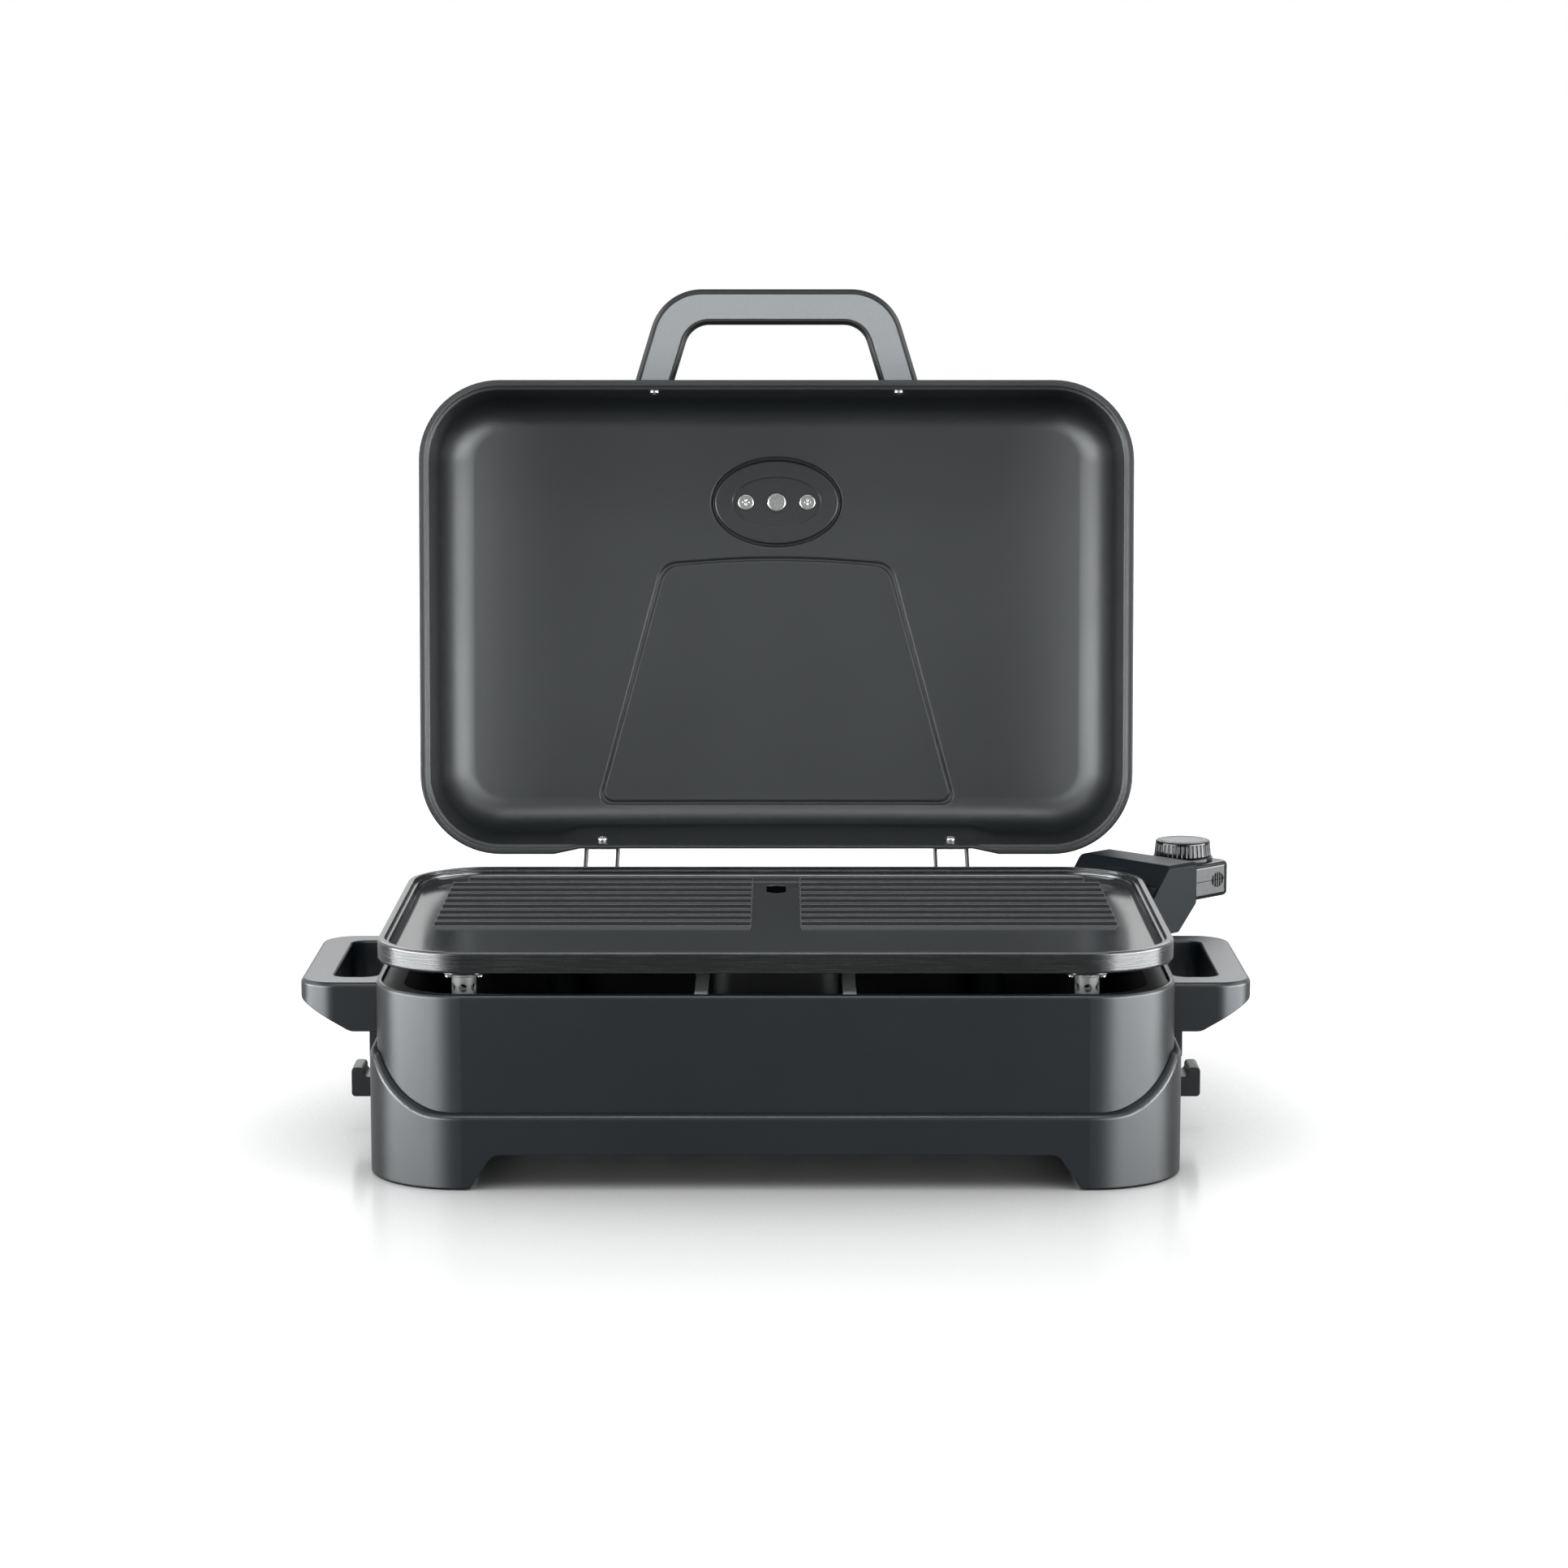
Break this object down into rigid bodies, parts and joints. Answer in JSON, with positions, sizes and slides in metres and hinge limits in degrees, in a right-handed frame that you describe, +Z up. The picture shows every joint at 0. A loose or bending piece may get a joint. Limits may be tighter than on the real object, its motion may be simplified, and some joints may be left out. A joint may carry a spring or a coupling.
{
  "type": "electric grill",
  "caption": "Table-top electric grill: ribbed cast plate on a deep base with carrying handles, tall hinged lid with a thermometer, and a plug-in heat control at one corner.",
  "frame": {"origin": "middle of the overall plan extent, on the table under the foot pads", "axes": "+X to the right seen from the front, +Y to the back, +Z up, with the lid open on its stop"},
  "size_m": [0.5992, 0.501, 0.525],
  "materials": {
    "base_plastic": "satin anthracite moulding",
    "pad_rubber": "matt black rubber",
    "screw_steel": "bright zinc-plated steel",
    "liner_sheet": "dull reflecting sheet",
    "bar_steel": "bright rolled steel",
    "tray_sheet": "grey pressed sheet",
    "leg_steel": "bright drawn steel",
    "plate_coating": "black non-stick coated casting",
    "element_steel": "dark heater sheath",
    "contact_brass": "plated brass",
    "terminal_plastic": "heat-resisting moulding",
    "bracket_steel": "plain steel sheet",
    "shroud_plastic": "satin dark moulding",
    "lid_paint": "satin dark grey paint",
    "hinge_steel": "steel sheet",
    "handle_black": "black moulding",
    "handle_face": "light grey face",
    "gauge_plate": "satin dark grey paint",
    "gauge_case": "black moulding",
    "dial_face": "white dial",
    "dial_needle": "red needle",
    "dial_lens": "clear window",
    "stem_steel": "turned steel",
    "control_black": "glossy black moulding",
    "thermostat_plastic": "brown moulding",
    "shaft_steel": "turned steel",
    "knob_grey": "satin grey disc"
  },
  "bodies": {
    "base": {"lower_frame": "base_plastic", "housing_shell": "base_plastic", "handle_left": "base_plastic", "handle_right": "base_plastic", "cord_hook_left": "base_plastic", "cord_hook_right": "base_plastic", "bottom_cover": "base_plastic", "leg_posts": "base_plastic", "foot_pads": "pad_rubber", "bottom_cover_screws": "screw_steel", "handle_screws": "screw_steel", "leg_screws": "screw_steel", "terminal_bracket_screws": "screw_steel", "hinge_bracket_screws": "screw_steel", "liner_pan": "liner_sheet", "support_bar_left": "bar_steel", "support_bar_right": "bar_steel", "drip_tray": "tray_sheet", "plate_leg_front_left": "leg_steel", "plate_leg_front_right": "leg_steel", "plate_leg_rear_left": "leg_steel", "plate_leg_rear_right": "leg_steel", "grill_plate": "plate_coating", "heating_element": "element_steel", "terminal_pins": "contact_brass", "terminal_block": "terminal_plastic", "terminal_bracket": "bracket_steel", "connector_shroud": "shroud_plastic", "hinge_bracket_left": "hinge_steel", "hinge_bracket_right": "hinge_steel", "hinge_pin_left": "hinge_steel", "hinge_pin_right": "hinge_steel"},
    "lid": {"hinge_leaf_screws": "screw_steel", "lid_handle_screws": "screw_steel", "thermometer_screws": "screw_steel", "lid_shell": "lid_paint", "hinge_leaf_left": "hinge_steel", "hinge_leaf_right": "hinge_steel", "lid_handle_shell": "handle_black", "lid_handle_cover": "handle_face", "thermometer_back_plate": "gauge_plate", "thermometer_housing": "gauge_case", "thermometer_dial": "dial_face", "thermometer_lens": "dial_lens", "thermometer_stem": "stem_steel"},
    "needle": {"thermometer_needle": "dial_needle"},
    "controller": {"controller_top_shell": "control_black", "controller_bottom_shell": "control_black", "controller_screws": "screw_steel", "controller_contacts": "contact_brass", "sensor_probe": "stem_steel", "thermostat_body": "thermostat_plastic", "cord_gland": "control_black", "knob_collar": "control_black"},
    "knob": {"control_knob": "control_black", "knob_cap": "knob_grey", "knob_shaft": "shaft_steel"}
  },
  "joints": [
    {"name": "lid_hinge", "type": "hinge", "parent": "base", "child": "lid", "pos_m": [-0.00562, 0.09981, 0.122], "axis": [1, 0, 0], "range_deg": [0, 94.69]},
    {"name": "thermometer_turn", "type": "hinge", "parent": "lid", "child": "needle", "pos_m": [-0.00562, 0.24255, 0.37467], "axis": [0, -0.9967, 0.0818], "range_deg": [0, 240]},
    {"name": "controller_pull", "type": "slide", "parent": "base", "child": "controller", "axis": [0.7071, 0.7071, 0], "range_m": [0, 0.075]},
    {"name": "knob_turn", "type": "hinge", "parent": "controller", "child": "knob", "pos_m": [0.2697, 0.10334, 0.1466], "axis": [0, 0, -1], "range_deg": [0, 270]}
  ]
}
